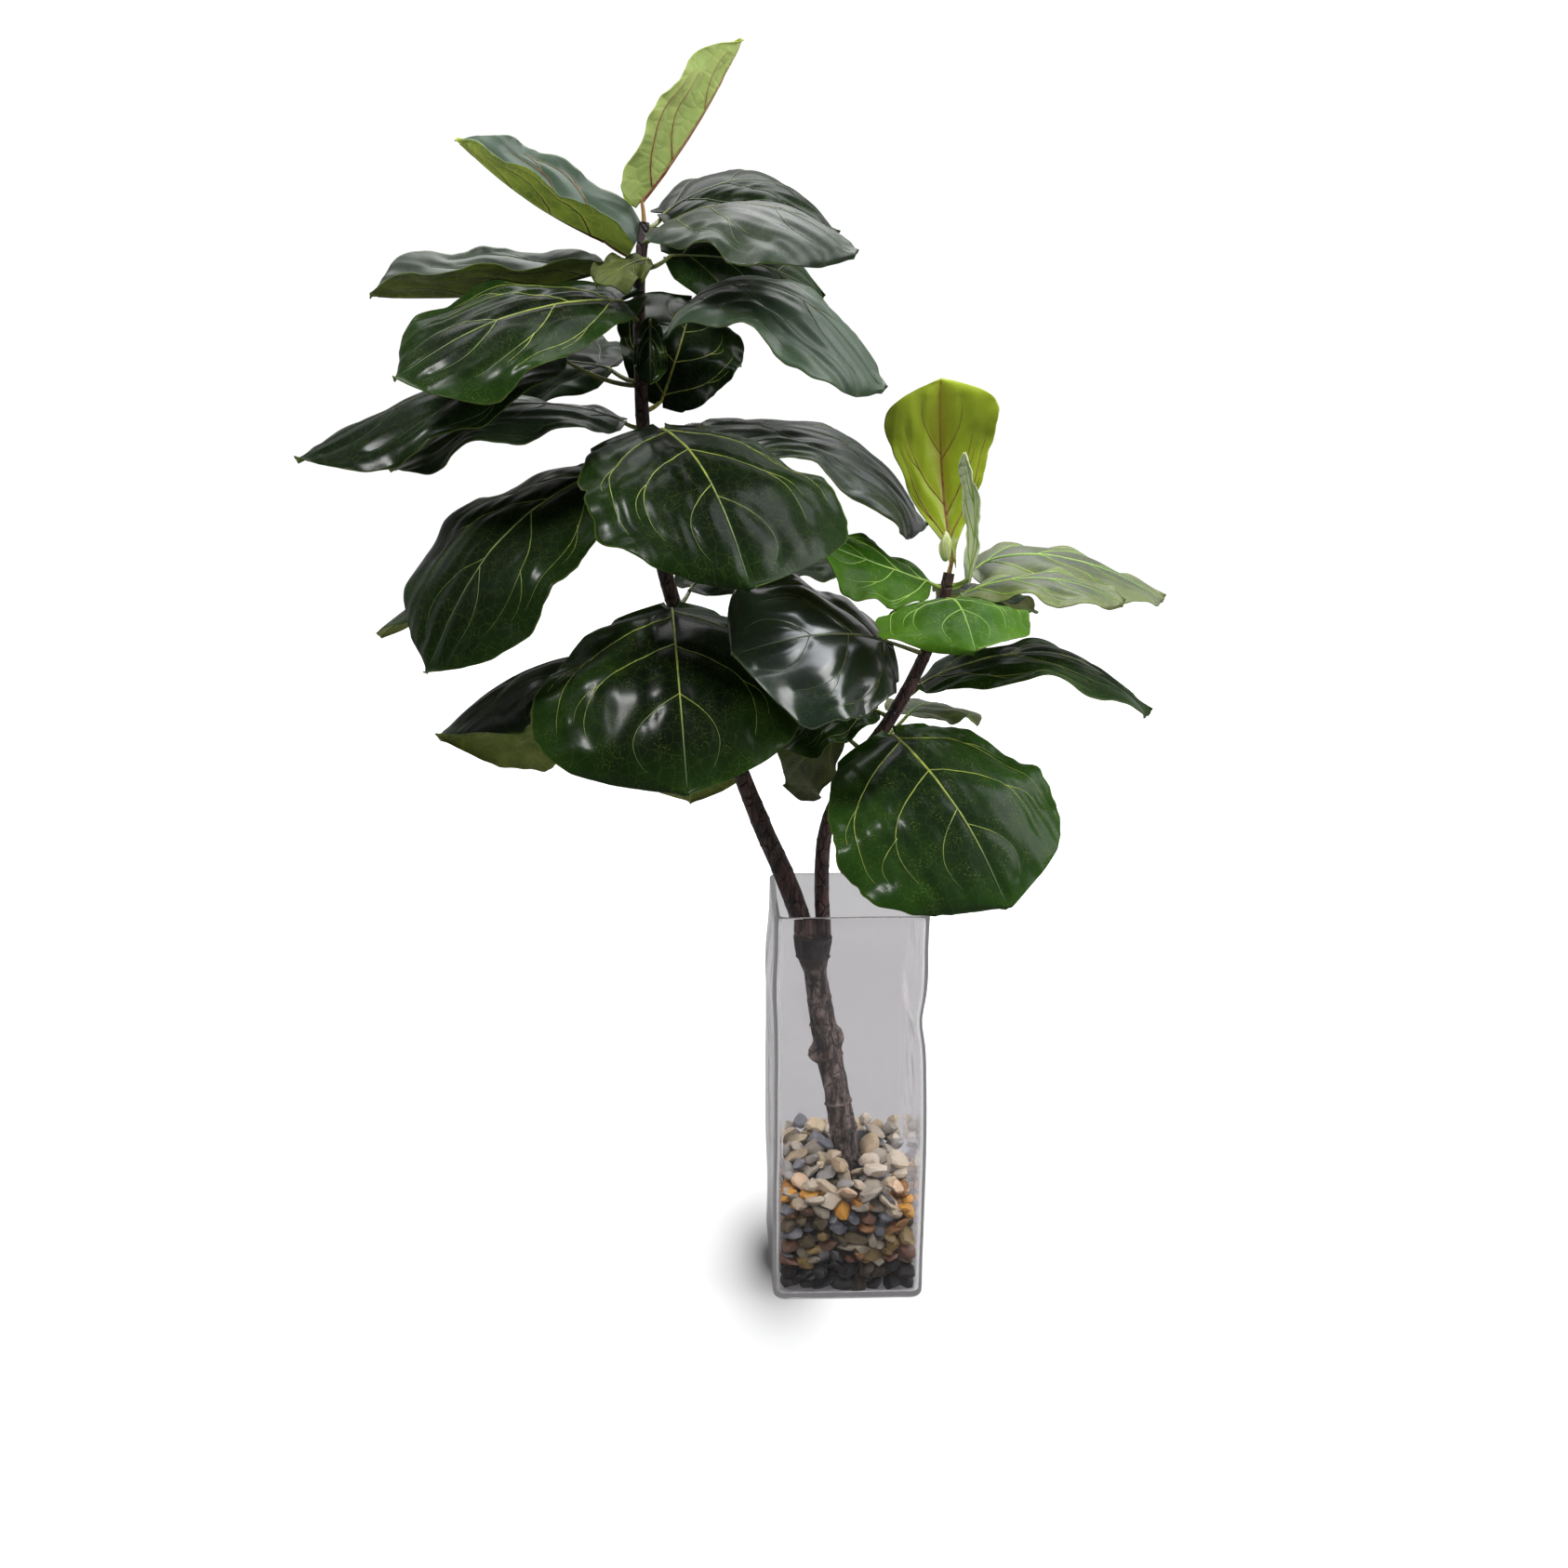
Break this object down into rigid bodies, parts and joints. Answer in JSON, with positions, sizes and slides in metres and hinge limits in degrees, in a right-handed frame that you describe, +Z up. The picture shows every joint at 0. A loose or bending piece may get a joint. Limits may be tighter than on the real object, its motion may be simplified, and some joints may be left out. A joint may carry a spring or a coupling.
{
  "type": "fiddle leaf fig in a vase",
  "caption": "Broad-leaved fig cutting on a forked woody trunk, standing in a square glass vase weighted with layered pebbles.",
  "frame": {"origin": "middle of the vase's flat underside, on the surface that it stands on", "axes": "+Z up, along the plant's height; the front, with the largest leaves, looks along -Y; +X to the right seen from the front"},
  "size_m": [0.853, 0.4274, 1.2644],
  "materials": {
    "vase_glass": "clear hand-blown glass with a faint smoke-grey tint, polished, slightly wavy",
    "dark_pebbles": "near-black river pebbles, satin",
    "brown_pebbles": "mixed orange, ochre, olive and white river pebbles, polished",
    "light_pebbles": "beige, peach, grey and white river pebbles, satin",
    "trunk_bark": "rough grey-brown bark with knots and leaf scars",
    "stem_bark": "dark purple-brown bark with ring scars",
    "old_leaf": "deep green leaf, waxy semi-gloss top with raised pale veins, olive underside",
    "young_leaf": "bright yellow-green new leaf with fine veins and a red-brown midrib"
  },
  "bodies": {
    "root": {"brown_pebble_bed": "brown_pebbles", "bud": "young_leaf", "dark_pebble_bed": "dark_pebbles", "light_pebble_bed": "light_pebbles", "short_leaf_01": "young_leaf", "short_leaf_02": "young_leaf", "short_leaf_03": "young_leaf", "short_leaf_04": "young_leaf", "short_leaf_05": "young_leaf", "short_leaf_06": "young_leaf", "short_leaf_07": "old_leaf", "short_leaf_08": "old_leaf", "short_leaf_09": "old_leaf", "short_leaf_10": "old_leaf", "short_leaf_11": "old_leaf", "short_leaf_12": "old_leaf", "short_leaf_13": "old_leaf", "short_stem": "stem_bark", "tall_leaf_01": "young_leaf", "tall_leaf_02": "young_leaf", "tall_leaf_03": "old_leaf", "tall_leaf_04": "old_leaf", "tall_leaf_05": "old_leaf", "tall_leaf_06": "old_leaf", "tall_leaf_07": "old_leaf", "tall_leaf_08": "old_leaf", "tall_leaf_09": "old_leaf", "tall_leaf_10": "old_leaf", "tall_leaf_11": "old_leaf", "tall_leaf_12": "old_leaf", "tall_leaf_13": "old_leaf", "tall_leaf_14": "old_leaf", "tall_leaf_15": "old_leaf", "tall_leaf_16": "old_leaf", "tall_leaf_17": "old_leaf", "tall_leaf_18": "old_leaf", "tall_leaf_19": "old_leaf", "tall_leaf_20": "old_leaf", "tall_leaf_21": "old_leaf", "tall_leaf_22": "old_leaf", "tall_stem": "stem_bark", "top_pebble_01": "light_pebbles", "top_pebble_02": "light_pebbles", "top_pebble_03": "light_pebbles", "top_pebble_04": "light_pebbles", "top_pebble_05": "light_pebbles", "top_pebble_06": "light_pebbles", "top_pebble_07": "light_pebbles", "top_pebble_08": "light_pebbles", "top_pebble_09": "light_pebbles", "top_pebble_10": "light_pebbles", "top_pebble_11": "light_pebbles", "top_pebble_12": "light_pebbles", "top_pebble_13": "light_pebbles", "trunk": "trunk_bark", "vase": "vase_glass"}
  },
  "joints": []
}
